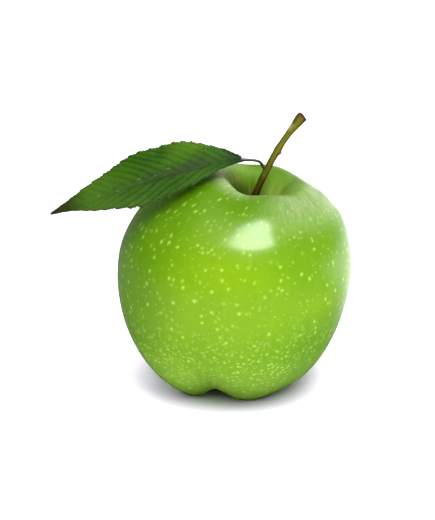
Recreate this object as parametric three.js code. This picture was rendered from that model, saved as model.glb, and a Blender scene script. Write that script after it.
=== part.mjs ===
// A green apple as picked: the fruit with its stem, one leaf on a short stalk, and the dried flower parts
// in the basin underneath.
//
// Millimetres, +Z up. The fruit's axis is X = Y = 0 while the pieces are shaped, -Y is its front and the
// stem leans to +X. The finished group is moved so that its origin lies on the resting plane, under the
// middle of the whole object's box. Angles round the fruit are in degrees, 0 at the front, 90 at +X.

import * as THREE from 'three';

const { degToRad, euclideanModulo, smoothstep } = THREE.MathUtils;

// Gap between pieces that touch on the real fruit.
const GAP = 0.3;

// Fruit: the half outline from the bottom of the stem dimple, over the shoulder and the widest ring, to
// the foot and up into the flower basin, as [radius, sideways drift of the ring's centre, height].
const HALF_OUTLINE = [
  [0.0, 5.0, 57.0],
  [3.0, 5.4, 58.0],
  [7.0, 6.9, 62.5],
  [9.9, 7.7, 68.2],
  [14.6, 8.1, 71.3],
  [23.6, 5.8, 69.2],
  [32.5, 2.0, 61.8],
  [37.6, 0.5, 51.5],
  [39.1, 0.0, 41.0],
  [37.6, -0.6, 29.0],
  [33.7, -1.1, 17.5],
  [25.8, -0.8, 6.0],
  [17.0, -0.5, -0.6],
  [12.0, 0.0, 2.0],
  [8.0, 0.5, 5.5],
  [4.0, 0.5, 8.3],
  [0.0, 0.5, 9.0],
];
const FRUIT_SIDES = 60;
const FRUIT_RINGS = 46;

// The lobes that the fruit stands on, five large ones and a small one: the angle of each, how far down it
// comes (1 is right down), how much further out than its neighbours it stands, and the degrees from its
// crest to its flank.
const LOBES = [
  { at: -49, down: 1.0, reach: 0.9, width: 22 },
  { at: 24, down: 1.0, reach: -0.6, width: 31 },
  { at: 60, down: 0.86, reach: 1.2, width: 24 },
  { at: 112, down: 0.97, reach: 0.5, width: 25 },
  { at: 178, down: 1.0, reach: 0.6, width: 25 },
  { at: 247, down: 0.95, reach: 0.5, width: 26 },
];
const LOBE_LIFT = 4.6; // height of the valleys between the lobes
const SEAT = 0.6; // height at which the lobes' undersides are flattened

// The uneven top: the dimple's rim leans back, stands high on the left and falls away on the right.
const LEAN_BACK = 0.36; // backward drift for each mm of sideways drift
const BASE_BACK = 2.0; // backward shift of the foot
const LEFT_RISE = 3.9;
const LEFT_RISE_AT = -95;
const RIGHT_DROP = 3.3;
const RIB_HEIGHT = 0.5; // five faint ribs round the rim
const RIB_AT = -58;

// Stem: a woody stalk that leans to the right and widens at its cut end.
const STEM_AXIS = [
  [4.5, 2.0, 57.95],
  [6.6, 2.0, 65.1],
  [11.2, 1.0, 76.2],
  [15.6, 0.0, 84.8],
  [22.0, -1.3, 94.4],
];
const STEM_RADIUS = 1.12;
const STEM_FOOT_RADIUS = 1.6;
const STEM_END_RADIUS = 1.85;
const BUD_SCAR_AT = 0.64; // fraction of the stem's length
const BUD_SCAR_SWELL = 0.3;

// Leaf stalk, from the stem's left side to the leaf's base.
const STALK_AXIS = [
  [9.5, 1.3, 76.5],
  [8.5, 1.2, 77.7],
  [7.2, 1.1, 78.3],
  [4.8, 1.0, 78.6],
  [3.0, 1.0, 78.7],
];
const STALK_RADIUS = 0.55;

// Leaf blade: its midrib, its half width, and how its two halves are folded.
const MIDRIB = [
  [2.6, 1.0, 78.7],
  [-14.0, -2.0, 76.5],
  [-33.2, -4.5, 71.5],
  [-50.0, -6.0, 65.9],
  [-60.2, -7.0, 63.0],
];
const LEAF_HALF_WIDTH = 13.9;
const LEAF_THICKNESS = 0.5;
const LEAF_TEETH = 26; // on each edge
const TOOTH_DEPTH = 0.45;
const BACK_LIFT = { base: 36, tip: 17 }; // degrees that the back half rises from the midrib
const FRONT_DROOP = { ends: -9, middle: 9 }; // degrees that the front half hangs below level
const FRONT_SWELL = { at: 0.8, spread: 0.15, share: 0.24 }; // the front half's extra width near the tip
const LEAF_ARCH = 0.1; // how far each half arches, as a fraction of its width

// Dried sepals and stamens in the basin.
const SEPALS = 5;
const SEPAL_RING = 4.3; // radius at which the sepals grow
const SEPAL_LENGTH = 6.2;
const SEPAL_HALF_WIDTH = 1.5;
const SEPAL_THICKNESS = 0.5;
const TUFT_RADIUS = 1.5;
const TUFT_HEIGHT = 3.6;

const SKIN = { color: 0x8cc63a, roughness: 0.32, metalness: 0 };
const BARK = { color: 0x74702a, roughness: 0.75, metalness: 0 };
const STALK_GREEN = { color: 0x3f5a2a, roughness: 0.6, metalness: 0 };
const LEAF_GREEN = { color: 0x467a22, roughness: 0.5, metalness: 0 };
const DRY_BROWN = { color: 0x6b5334, roughness: 0.9, metalness: 0 };

const vectors = (rows) => rows.map((row) => new THREE.Vector3(...row));
const curveThrough = (rows) => new THREE.CatmullRomCurve3(vectors(rows));

function piece(name, geometry, finish) {
  const mesh = new THREE.Mesh(geometry, new THREE.MeshStandardMaterial(finish));
  mesh.name = name;
  return mesh;
}

function geometryFrom(points, triangles) {
  const geometry = new THREE.BufferGeometry();
  geometry.setFromPoints(points);
  geometry.setIndex(triangles);
  geometry.computeVertexNormals();
  return geometry;
}

// A closed skin over rings of points, each ring anticlockwise seen from where the rings come from, with
// one point closing each end.
function skinOver(rings, firstTip, lastTip) {
  const sides = rings[0].length;
  const points = [firstTip, ...rings.flat(), lastTip];
  const triangles = [];
  const last = points.length - 1;
  for (let side = 0; side < sides; side += 1) {
    const next = (side + 1) % sides;
    triangles.push(0, 1 + side, 1 + next);
    for (let ring = 0; ring + 1 < rings.length; ring += 1) {
      const here = 1 + ring * sides;
      const there = here + sides;
      triangles.push(here + side, there + side, there + next);
      triangles.push(here + side, there + next, here + next);
    }
    const lastRing = last - sides;
    triangles.push(lastRing + side, last, lastRing + next);
  }
  return geometryFrom(points, triangles);
}

// Where the lobes stand at an angle round the fruit: how far down, and how far out.
function lobesAt(angle) {
  let down = 0;
  let reach = 0;
  for (const lobe of LOBES) {
    const away = euclideanModulo(angle - lobe.at + 180, 360) - 180;
    const near = Math.exp(-(Math.abs(away / lobe.width) ** 3));
    down += (lobe.down * near) ** 4;
    reach += lobe.reach * near;
  }
  return { down: down ** 0.25, reach };
}

const halfOutline = curveThrough(HALF_OUTLINE);

// A point of the fruit's skin: the angle round it, and the place along its half outline from 0 to 1.
function fruitPoint(angle, along) {
  const { x: radius, y: drift, z: height } = halfOutline.getPointAt(along);
  const turn = degToRad(angle);
  const lobe = lobesAt(angle);
  const low = 1 - smoothstep(height, 2, 26);
  const top = smoothstep(height, 45, 66);
  const offAxis = smoothstep(radius, 0, 12);

  const flank = Math.exp(-(((height - 8) / 13) ** 2)) * smoothstep(radius, 6, 16);
  const ribbed = 1 + 0.006 * Math.cos(degToRad(5 * (angle - 24))) * smoothstep(radius, 3, 30);
  const out = (radius + (lobe.down - 0.6 + lobe.reach) * flank) * ribbed;

  const leftness = ((1 + Math.cos(turn - degToRad(LEFT_RISE_AT))) / 2) ** 4;
  const rightness = ((1 + Math.sin(turn)) / 2) ** 2;
  const shoulder = 1 - smoothstep(radius, 18, 38);
  const outerShoulder = smoothstep(radius, 9, 22) * (1 - smoothstep(radius, 28, 37));
  const ribs = Math.cos(degToRad(5 * (angle - RIB_AT)));

  let z = height + LOBE_LIFT * (1 - lobe.down) * low * offAxis;
  z += top * LEFT_RISE * leftness * shoulder * offAxis;
  z -= top * RIGHT_DROP * rightness * outerShoulder;
  z += top * RIB_HEIGHT * ribs * offAxis;
  return new THREE.Vector3(
    out * Math.sin(turn) + drift,
    -out * Math.cos(turn) + LEAN_BACK * drift * top + BASE_BACK * low,
    Math.max(z, SEAT) - SEAT,
  );
}

function fruit() {
  const rings = [];
  for (let ring = 1; ring < FRUIT_RINGS; ring += 1) {
    const points = [];
    for (let side = 0; side < FRUIT_SIDES; side += 1) {
      points.push(fruitPoint((360 * side) / FRUIT_SIDES, ring / FRUIT_RINGS));
    }
    rings.push(points);
  }
  return piece('fruit', skinOver(rings, fruitPoint(0, 0), fruitPoint(0, 1)), SKIN);
}

// A stalk of changing radius along a curve, closed at both ends.
function stalk(name, axis, radiusAt, sides, steps, finish) {
  const curve = curveThrough(axis);
  const { normals, binormals } = curve.computeFrenetFrames(steps);
  const rings = [];
  for (let step = 0; step <= steps; step += 1) {
    const centre = curve.getPointAt(step / steps);
    const points = [];
    for (let side = 0; side < sides; side += 1) {
      const turn = (-2 * Math.PI * side) / sides;
      const radius = radiusAt(step / steps, turn);
      const point = centre.clone();
      point.addScaledVector(normals[step], radius * Math.cos(turn));
      point.addScaledVector(binormals[step], radius * Math.sin(turn));
      points.push(point);
    }
    rings.push(points);
  }
  return piece(name, skinOver(rings, curve.getPointAt(0), curve.getPointAt(1)), finish);
}

function stemRadius(along) {
  const foot = 1 - smoothstep(along, 0, 0.35);
  const end = smoothstep(along, 0.78, 1);
  const scar = Math.exp(-(((along - BUD_SCAR_AT) / 0.03) ** 2));
  return STEM_RADIUS + (STEM_FOOT_RADIUS - STEM_RADIUS) * foot
    + (STEM_END_RADIUS - STEM_RADIUS) * end + BUD_SCAR_SWELL * scar;
}

const stem = () => stalk('stem', STEM_AXIS, stemRadius, 14, 34, BARK);
const leafStalk = () => stalk('leaf_stalk', STALK_AXIS, () => STALK_RADIUS, 8, 12, STALK_GREEN);

// A thin closed solid on a patch of surface: middleAt(along, across) gives a point of the surface midway
// between the solid's two faces, with along from 0 to 1 and across from -1 to 1.
function thinBlade(middleAt, thickness, lengthSteps, widthSteps) {
  const step = 0.001;
  const faceUp = (along, across) => {
    const a = Math.min(Math.max(along, step), 1 - step);
    const b = Math.min(Math.max(across, step - 1), 1 - step);
    const lengthways = middleAt(a + step, b).sub(middleAt(a - step, b));
    const widthways = middleAt(a, b + step).sub(middleAt(a, b - step));
    return lengthways.cross(widthways).normalize();
  };
  const rings = [];
  for (let i = 0; i <= lengthSteps; i += 1) {
    const upper = [];
    const lower = [];
    for (let j = 0; j <= widthSteps; j += 1) {
      const place = [i / lengthSteps, (2 * j) / widthSteps - 1];
      const up = faceUp(...place).multiplyScalar(thickness / 2);
      upper.push(middleAt(...place).add(up));
      lower.push(middleAt(...place).sub(up));
    }
    rings.push([...upper, ...lower.reverse()]);
  }
  return skinOver(rings, middleAt(0, 0), middleAt(1, 0));
}

// Half width of the leaf along its midrib, with small forward-pointing teeth on the edge.
function leafHalfWidth(along) {
  const swell = Math.sin(Math.PI * (0.012 + 0.976 * along) ** 0.93) ** 0.85;
  const drawnTip = 1 - 0.22 * smoothstep(along, 0.6, 0.97);
  const tooth = euclideanModulo(along * LEAF_TEETH, 1) < 0.5 ? 0 : 1;
  return LEAF_HALF_WIDTH * swell * drawnTip + TOOTH_DEPTH * (tooth - 0.5) * Math.sin(Math.PI * along);
}

const midrib = curveThrough(MIDRIB);

// A point of the leaf's middle surface; across is -1 on the front edge and 1 on the back edge.
function leafPoint(along, across) {
  const swell = Math.exp(-(((along - FRONT_SWELL.at) / FRONT_SWELL.spread) ** 2));
  const widened = across < 0 ? 1 + FRONT_SWELL.share * swell : 1;
  const reach = Math.abs(across) * leafHalfWidth(along) * widened;
  const run = midrib.getTangentAt(along).setZ(0).normalize();
  const backward = new THREE.Vector3(run.y, -run.x, 0);
  const backAngle = BACK_LIFT.base + (BACK_LIFT.tip - BACK_LIFT.base) * along;
  const middle = Math.sin(Math.PI * along) ** 2;
  const frontAngle = -(FRONT_DROOP.ends + (FRONT_DROOP.middle - FRONT_DROOP.ends) * middle);
  const slope = degToRad(across > 0 ? backAngle : frontAngle);
  const arch = LEAF_ARCH * reach * (1 - Math.abs(across));
  const point = midrib.getPointAt(along);
  point.addScaledVector(backward, Math.sign(across) * reach * Math.cos(slope));
  point.z += reach * Math.sin(slope) + arch;
  return point;
}

function leafBlade() {
  return piece('leaf_blade', thinBlade(leafPoint, LEAF_THICKNESS, 2 * LEAF_TEETH, 6), LEAF_GREEN);
}

// The middle of the basin's floor, where the dried flower parts grow.
const BASIN_FLOOR = fruitPoint(0, 1);

// A sepal grows down from the basin's floor and bends in over the stamens, with its tip turned out.
function sepal(number) {
  const turn = (2 * Math.PI * (number + 0.5)) / SEPALS;
  const outward = new THREE.Vector3(Math.sin(turn), -Math.cos(turn), 0);
  const sideways = new THREE.Vector3(Math.cos(turn), Math.sin(turn), 0);
  const pointAt = (along, across) => {
    const halfWidth = SEPAL_HALF_WIDTH * (1 - along) ** 0.8 * (0.75 + 0.6 * along) + 0.12;
    const inward = 1.5 * Math.sin(Math.PI * 0.62 * along);
    const point = BASIN_FLOOR.clone();
    point.addScaledVector(outward, SEPAL_RING - inward + 0.25 * across * across);
    point.addScaledVector(sideways, halfWidth * across);
    point.z -= 1.35 + SEPAL_LENGTH * 0.85 * along;
    return point;
  };
  return piece(`sepal_${number + 1}`, thinBlade(pointAt, SEPAL_THICKNESS, 8, 4), DRY_BROWN);
}

// The dried stamens and styles, a rough tuft that hangs from the middle of the basin.
function stamenTuft() {
  const outline = [
    [0, -GAP],
    [0.6, -GAP],
    [0.85, -1.2],
    [1, -2.2],
    [0.7, -TUFT_HEIGHT],
    [0, -TUFT_HEIGHT - 0.2],
  ];
  const profile = outline.reverse().map(([radius, z]) => new THREE.Vector2(radius * TUFT_RADIUS, z));
  const geometry = new THREE.LatheGeometry(profile, 14);
  geometry.rotateX(Math.PI / 2);
  geometry.translate(BASIN_FLOOR.x, BASIN_FLOOR.y, BASIN_FLOOR.z);
  return piece('stamen_tuft', geometry, DRY_BROWN);
}

const apple = new THREE.Group();
apple.add(fruit(), stem(), leafStalk(), leafBlade());
for (let number = 0; number < SEPALS; number += 1) {
  apple.add(sepal(number));
}
apple.add(stamenTuft());

// Stand it with the origin under the middle of its box.
const box = new THREE.Box3().setFromObject(apple, true);
const middle = box.getCenter(new THREE.Vector3());
apple.position.set(-middle.x, -middle.y, -box.min.z);

export default apple;
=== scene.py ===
"""A green apple with its stem and one leaf, standing on a white studio table.

Every piece is shaped in millimetres round the fruit's own axis, with the front at -Y and the stem leaning to
+X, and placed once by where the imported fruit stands. Angles round the fruit are in degrees, 0 at the front.
"""

import math

import bpy
import numpy as np
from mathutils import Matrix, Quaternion, Vector


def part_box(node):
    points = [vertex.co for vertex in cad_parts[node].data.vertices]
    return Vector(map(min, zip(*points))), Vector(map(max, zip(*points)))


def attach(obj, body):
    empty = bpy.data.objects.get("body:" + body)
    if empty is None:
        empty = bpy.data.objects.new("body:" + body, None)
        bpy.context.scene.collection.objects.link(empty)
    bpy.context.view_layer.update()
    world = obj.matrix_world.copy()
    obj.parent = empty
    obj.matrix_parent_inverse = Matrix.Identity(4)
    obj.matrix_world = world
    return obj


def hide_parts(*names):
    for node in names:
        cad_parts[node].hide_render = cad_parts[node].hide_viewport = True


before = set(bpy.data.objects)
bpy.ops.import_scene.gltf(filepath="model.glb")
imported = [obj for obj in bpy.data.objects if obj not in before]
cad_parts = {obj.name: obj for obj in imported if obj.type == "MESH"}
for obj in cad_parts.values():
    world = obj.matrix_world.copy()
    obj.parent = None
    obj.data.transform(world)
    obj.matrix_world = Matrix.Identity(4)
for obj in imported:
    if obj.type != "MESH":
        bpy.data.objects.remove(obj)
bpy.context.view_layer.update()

MM = 0.001

# ---- Driving dimensions ----

# Half outline of the fruit, from the bottom of the stem dimple over the shoulder to the flower basin:
# (radius, sideways drift of the ring's centre, height).
HALF_OUTLINE = [
    (0.0, 5.0, 57.0),
    (3.0, 5.4, 58.0),
    (7.0, 6.9, 62.5),
    (9.9, 7.7, 68.2),
    (14.6, 8.1, 71.3),
    (23.6, 5.8, 69.2),
    (32.5, 2.0, 61.8),
    (37.6, 0.5, 51.5),
    (39.1, 0.0, 41.0),
    (37.6, -0.6, 29.0),
    (33.7, -1.1, 17.5),
    (25.8, -0.8, 6.0),
    (17.0, -0.5, -0.6),
    (12.0, 0.0, 2.0),
    (8.0, 0.5, 5.5),
    (4.0, 0.5, 8.3),
    (0.0, 0.5, 9.0),
]
# (angle, how far down it comes, how much further out it stands, half width in degrees)
LOBES = [
    (-49, 1.0, 0.9, 22),
    (24, 1.0, -0.6, 31),
    (60, 0.86, 1.2, 24),
    (112, 0.97, 0.5, 25),
    (178, 1.0, 0.6, 25),
    (247, 0.95, 0.5, 26),
]
LOBE_LIFT = 4.6  # how far the foot rises between the lobes
SEAT = 0.6  # how much of the lobes is cut off flat, to stand on
LEAN_BACK = 0.36  # how far back the top's rings drift, for each millimetre that they drift sideways
BASE_BACK = 2.0
LEFT_RISE = 3.9  # of the dimple's rim
LEFT_RISE_AT = -95
RIGHT_DROP = 3.3
RIBS = 5
RIB_HEIGHT = 0.5
RIB_AT = -58
WAIST_RIB = 0.006
WAIST_RIB_AT = 24
BASIN_FROM_DIMPLE = 133.0  # along the skin, from the dimple's bottom to the edge of the basin's floor

STEM_AXIS = [(4.4, 2.0, 56.2), (6.6, 2.0, 65.1), (11.2, 1.0, 76.2), (15.6, 0.0, 84.8), (22.0, -1.3, 94.4)]
STEM_RADIUS = 1.08
BUD_SCAR_AT = 0.655  # share of the stem's length, from its foot
CUT_TILT = -0.15  # slope of the cut across the stem's end
STALK_AXIS = [
    (10.4, 1.3, 75.6),
    (9.3, 1.3, 76.6),
    (8.5, 1.2, 77.7),
    (7.2, 1.1, 78.3),
    (4.8, 1.0, 78.6),
    (2.2, 1.0, 78.6),
]
STALK_RADIUS = 0.5

MIDRIB = [
    (2.6, 1.0, 78.7),
    (-14.0, -2.0, 76.5),
    (-33.2, -4.5, 71.5),
    (-50.0, -6.0, 65.9),
    (-60.2, -7.0, 62.5),
]
LEAF_HALF_WIDTH = 13.9
LEAF_THICKNESS = 0.3
FRONT_SWELL = 0.24  # how much wider the front half is, near the tip
BACK_VEIN_PITCH = 3.5
FRONT_VEIN_PITCH = 5.2
TEETH = 30
FRONT_TEETH = 1.6  # how much longer the front edge's teeth are

SEPALS = 5
STAMENS = 17
STYLES = 5


# ---- Colours ----

def srgb(red, green, blue):
    """A colour given as 0 to 255 on a screen, as the shader wants it."""
    parts = [c / 255 for c in (red, green, blue)]
    return tuple(c / 12.92 if c <= 0.04045 else ((c + 0.055) / 1.055) ** 2.4 for c in parts) + (1.0,)


SKIN_LIGHT = srgb(122, 157, 18)
SKIN_FRESH = srgb(101, 142, 12)
# A deeper green, for streaks and for painted shade.
SKIN_DEEP_AND_SHADE = srgb(70, 116, 6)
# Grey-white for the bloom and for a painted sheen.
SKIN_BLOOM_AND_SHEEN = srgb(150, 166, 116)
# Painted light on the foot, for light thrown up from the table.
FOOT_PAINTED_BOUNCE = srgb(158, 188, 98)
SPOT_PALE = srgb(172, 202, 104)
SPOT_HALO = srgb(140, 176, 46)
WALL_GREEN = srgb(36, 70, 4)
WALL_OLIVE = srgb(112, 132, 26)
# Painted shade deep in the dimple.
WALL_PAINTED_SHADE = srgb(26, 48, 6)
WALL_PALE = srgb(158, 188, 82)
WALL_PINK = srgb(150, 132, 100)
RUSSET_BROWN = srgb(98, 60, 26)
RUSSET_DARK = srgb(44, 26, 10)

BARK_OLIVE = srgb(74, 84, 6)
BARK_GOLD = srgb(122, 122, 22)
BARK_TAN = srgb(84, 66, 18)
# Painted shade down the stem's right side.
BARK_SHADE_BROWN = srgb(54, 30, 6)
# Painted shade down the stem's left side.
BARK_SHADE_GREEN = srgb(46, 58, 10)
BARK_FOOT = srgb(46, 22, 5)
BARK_END = srgb(50, 34, 16)
SCAR_PINK = srgb(140, 90, 60)
SCUFF_GREY = srgb(160, 154, 118)
CUT_RIM = srgb(16, 9, 5)
CUT_RED = srgb(92, 38, 18)
CUT_BROWN = srgb(74, 40, 18)

STALK_DARK = srgb(22, 28, 8)
STALK_GREEN = srgb(46, 54, 18)
STALK_FOOT = srgb(38, 22, 10)
STALK_DOWN = srgb(90, 90, 54)

LEAF_FRONT_DARK = srgb(38, 70, 12)
LEAF_FRONT_LIGHT = srgb(64, 102, 26)
# Paler ridge greens: painted light on the leaf's ridges.
LEAF_FRONT_RIDGE_LIGHT = srgb(68, 104, 34)
LEAF_BACK_DARK = srgb(28, 64, 2)
LEAF_BACK_LIGHT = srgb(58, 100, 6)
LEAF_BACK_RIDGE_LIGHT = srgb(62, 102, 8)
# Painted shade in the leaf's vein grooves.
LEAF_VEIN_SHADE = srgb(12, 36, 6)
# Painted light on the leaf's back half near its base.
LEAF_PAINTED_LIGHT = srgb(84, 124, 10)
LEAF_RIB_GREEN = srgb(26, 50, 22)
LEAF_RIB_GREY = srgb(52, 56, 34)
LEAF_NET = srgb(26, 58, 14)
LEAF_MOTTLE = srgb(24, 54, 12)
LEAF_FLECK = srgb(124, 150, 92)
# Painted light on the leaf's upper face towards the tip.
LEAF_OUTER_LIGHT = srgb(78, 118, 26)
LEAF_TIP = srgb(32, 30, 15)
LEAF_BASE = srgb(18, 32, 12)
UNDER_DARK = srgb(88, 116, 58)
UNDER_LIGHT = srgb(108, 134, 76)
UNDER_VEIN = srgb(138, 156, 96)
UNDER_NET = srgb(128, 150, 88)
UNDER_RIB = srgb(134, 146, 78)

DRY_BROWN = srgb(92, 70, 44)
DRY_TAN = srgb(148, 126, 88)
DRY_GREEN = srgb(104, 118, 62)
DRY_TIP = srgb(58, 40, 26)
DRY_DOWN = srgb(184, 178, 150)


# ---- Shape tools ----

def ease(low, high, value):
    """0 below low, 1 above high, and smooth between them."""
    t = np.clip((np.asarray(value, float) - low) / (high - low), 0, 1)
    return t * t * (3 - 2 * t)


def bell(value, centre, width):
    return np.exp(-((value - centre) / width) ** 2)


def slope_at(before, here, after, gap_in, gap_out):
    """How fast a curve runs at the middle one of three points, for the steps before and after it."""
    return (here - before) / gap_in - (after - before) / (gap_in + gap_out) + (after - here) / gap_out


def curve_through(points, places):
    """Points on a smooth curve through the given ones, at places from 0 to 1 along its length."""
    given = np.array(points, float)
    ends = np.vstack([2 * given[0] - given[1], given, 2 * given[-1] - given[-2]])
    fine = []
    for i in range(len(given) - 1):
        before, start, end, after = ends[i:i + 4]
        gaps = [math.sqrt(np.linalg.norm(b - a)) for a, b in ((before, start), (start, end), (end, after))]
        pull_in = slope_at(before, start, end, gaps[0], gaps[1]) * gaps[1]
        pull_out = slope_at(start, end, after, gaps[1], gaps[2]) * gaps[1]
        t = np.linspace(0, 1, 60, endpoint=False)[:, None]
        square = -3 * start + 3 * end - 2 * pull_in - pull_out
        cube = 2 * start - 2 * end + pull_in + pull_out
        fine.append(start + pull_in * t + square * t ** 2 + cube * t ** 3)
    fine = np.vstack(fine + [given[-1:]])
    run = np.concatenate([[0], np.cumsum(np.linalg.norm(np.diff(fine, axis=0), axis=1))])
    return np.stack([np.interp(np.asarray(places) * run[-1], run, fine[:, k]) for k in range(3)], axis=-1)


def unit(vectors):
    return vectors / np.maximum(np.linalg.norm(vectors, axis=-1, keepdims=True), 1e-9)


def grid_normals(grid, wrap):
    """Normals of a grid of points, pointing along (down the rows) x (along the rows)."""
    down = np.gradient(grid, axis=0)
    if wrap:
        beside = (np.roll(grid, -1, axis=1) - np.roll(grid, 1, axis=1)) / 2
    else:
        beside = np.gradient(grid, axis=1)
    return unit(np.cross(down, beside))


def ring_faces(rows, sides):
    """Quads between rings, and a fan to one point at each end: point 0 comes first, then the rings."""
    faces = []
    last = rows * sides + 1
    for side in range(sides):
        beside = (side + 1) % sides
        faces.append((0, 1 + side, 1 + beside))
        for row in range(rows - 1):
            here = 1 + row * sides
            faces.append((here + side, here + sides + side, here + sides + beside, here + beside))
        faces.append((last - sides + side, last, last - sides + beside))
    return faces


APPLE = []


def make_piece(name, points, faces, material, nodes, attributes):
    """A smooth mesh piece in millimetres, which rides on the fruit's body and stands for CAD nodes."""
    mesh = bpy.data.meshes.new(name)
    mesh.from_pydata((np.asarray(points) * MM).tolist(), [], faces)
    mesh.validate()
    mesh.polygons.foreach_set("use_smooth", [True] * len(mesh.polygons))
    for label, values in attributes.items():
        layer = mesh.attributes.new(label, "FLOAT_VECTOR", "POINT")
        layer.data.foreach_set("vector", np.asarray(values, np.float32).ravel())
    mesh.update()
    mesh.materials.append(material)
    piece = bpy.data.objects.new(name, mesh)
    bpy.context.scene.collection.objects.link(piece)
    piece.location = HOME
    bpy.context.view_layer.update()
    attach(piece, "root")
    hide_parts(*nodes)
    APPLE.append(piece)


def with_ends(first, grid, last):
    return np.vstack([np.reshape(first, (1, 3)), grid.reshape(-1, 3), np.reshape(last, (1, 3))])


def growth_directions(places, sides):
    """(cosine, sine, place along) for each point of a ringed piece and its two end points."""
    turns = np.arange(sides) * 2 * math.pi / sides
    rows = [np.stack([np.cos(turns), np.sin(turns), np.full(sides, place)], axis=-1) for place in places]
    return with_ends((0, 0, places[0]), np.array(rows), (0, 0, places[-1]))


# ---- Shader tools ----

class Nodes:
    """Adds linked nodes to one shader tree. Values are numbers, tuples or other nodes' sockets."""

    def __init__(self, tree):
        self.tree = tree

    def add(self, kind, inputs=None, **settings):
        node = self.tree.nodes.new("ShaderNode" + kind)
        for name, value in settings.items():
            setattr(node, name, value)
        for name, value in (inputs or {}).items():
            self.feed(node.inputs[name], value)
        return node

    def feed(self, socket, value):
        if isinstance(value, bpy.types.NodeSocket):
            self.tree.links.new(value, socket)
        else:
            socket.default_value = value

    def math(self, operation, a, b=0.0, clamp=False):
        return self.add("Math", {0: a, 1: b}, operation=operation, use_clamp=clamp).outputs[0]

    def chain(self, operation, values):
        result = values[0]
        for value in values[1:]:
            result = self.math(operation, result, value)
        return result

    def times(self, *values):
        return self.chain("MULTIPLY", values)

    def plus(self, *values):
        return self.chain("ADD", values)

    def most(self, *values):
        return self.chain("MAXIMUM", values)

    def split(self, vector):
        """The three numbers of a vector, as a list."""
        return self.add("SeparateXYZ", {0: vector}).outputs[:3]

    def between(self, value, low, high, to_low=0.0, to_high=1.0):
        """value from low to high becomes to_low to to_high, smoothly, and stays there outside.

        low may be the greater of the two.
        """
        inputs = {"Value": value, "From Min": low, "From Max": high, "To Min": to_low, "To Max": to_high}
        return self.add("MapRange", inputs, interpolation_type="SMOOTHSTEP").outputs["Result"]

    def tint(self, mask, below, above):
        """The colour below where the mask is 0, and the colour above where it is 1."""
        node = self.add("Mix", data_type="RGBA")
        for name, value in (("Factor_Float", mask), ("A_Color", below), ("B_Color", above)):
            self.feed(next(s for s in node.inputs if s.identifier == name), value)
        return next(s for s in node.outputs if s.identifier == "Result_Color")

    def stretch(self, vector, scale):
        return self.add("VectorMath", {0: vector, 1: scale}, operation="MULTIPLY").outputs[0]

    def noise(self, vector, scale, detail=2.0, roughness=0.5):
        inputs = {"Vector": vector, "Scale": scale, "Detail": detail, "Roughness": roughness}
        return self.add("TexNoise", inputs).outputs["Fac"]

    def group(self, tree, inputs):
        node = self.add("Group")
        node.node_tree = tree
        for name, value in inputs.items():
            self.feed(node.inputs[name], value)
        return node.outputs


def mask_group(name, vector, **numbers):
    """An empty node group that takes a vector and these numbers, and puts out a mask."""
    tree = bpy.data.node_groups.new(name, "ShaderNodeTree")
    tree.interface.new_socket(vector, in_out="INPUT", socket_type="NodeSocketVector")
    for label, default in numbers.items():
        socket = tree.interface.new_socket(label, in_out="INPUT", socket_type="NodeSocketFloat")
        socket.default_value = default
    tree.interface.new_socket("Mask", in_out="OUTPUT", socket_type="NodeSocketFloat")
    given = tree.nodes.new("NodeGroupInput").outputs
    result = tree.nodes.new("NodeGroupOutput").inputs
    return tree, Nodes(tree), given, result


def speckle_group():
    """Scattered round dots: how far apart, how large beside that, and how soft their edges are."""
    tree, n, given, result = mask_group("Speckles", "Vector", Spacing=2.0, Size=0.2, Softness=0.5)
    scale = n.math("DIVIDE", 1.0, given["Spacing"])
    cells = n.add("TexVoronoi", {"Vector": given["Vector"], "Scale": scale, "Randomness": 1.0}, feature="F1")
    inner = n.times(given["Size"], n.math("SUBTRACT", 1.0, given["Softness"]))
    dot = n.between(cells.outputs["Distance"], inner, given["Size"], 1.0, 0.0)
    chance = n.add("SeparateColor", {0: cells.outputs["Color"]}).outputs[0]
    strength = n.between(chance, 0.0, 0.7, 0.35, 1.0)
    n.feed(result["Mask"], n.times(dot, strength))
    return tree


def fibre_group():
    """Fine lines that run the way the piece grew, from its own growth directions."""
    tree, n, given, result = mask_group("Growth lines", "Growth", Lines=10.0, Length=1.0, Contrast=0.5)
    shape = n.add("CombineXYZ", {0: given["Lines"], 1: given["Lines"], 2: given["Length"]}).outputs[0]
    fac = n.noise(n.stretch(given["Growth"], shape), 1.0, 4.0, 0.55)
    half = n.times(n.math("SUBTRACT", 1.0, given["Contrast"]), 0.45)
    n.feed(result["Mask"], n.between(fac, n.math("SUBTRACT", 0.5, half), n.plus(0.5, half)))
    return tree


def patch_group():
    """Soft uneven patches of a given size."""
    tree, n, given, result = mask_group("Patches", "Vector", Size=10.0, Contrast=0.5)
    fac = n.noise(given["Vector"], n.math("DIVIDE", 1.0, given["Size"]), 3.0, 0.55)
    half = n.times(n.math("SUBTRACT", 1.0, given["Contrast"]), 0.5)
    n.feed(result["Mask"], n.between(fac, n.math("SUBTRACT", 0.5, half), n.plus(0.5, half)))
    return tree


def new_material(name):
    material = bpy.data.materials.new(name)
    material.use_nodes = True
    tree = material.node_tree
    shader = next(node for node in tree.nodes if node.type == "BSDF_PRINCIPLED")
    n = Nodes(tree)
    millimetres = n.stretch(n.add("TexCoord").outputs["Object"], (1 / MM, 1 / MM, 1 / MM))
    return material, n, shader, millimetres


def attribute(n, name):
    return n.add("Attribute", attribute_name=name).outputs["Vector"]


SPECKLES = speckle_group()
GROWTH_LINES = fibre_group()
PATCHES = patch_group()


def speckles(n, vector, spacing, size, softness):
    return n.group(SPECKLES, {"Vector": vector, "Spacing": spacing, "Size": size, "Softness": softness})[0]


def growth_lines(n, growth, lines, length, contrast):
    inputs = {"Growth": growth, "Lines": lines, "Length": length, "Contrast": contrast}
    return n.group(GROWTH_LINES, inputs)[0]


def patches(n, vector, size, contrast):
    return n.group(PATCHES, {"Vector": vector, "Size": size, "Contrast": contrast})[0]


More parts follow.
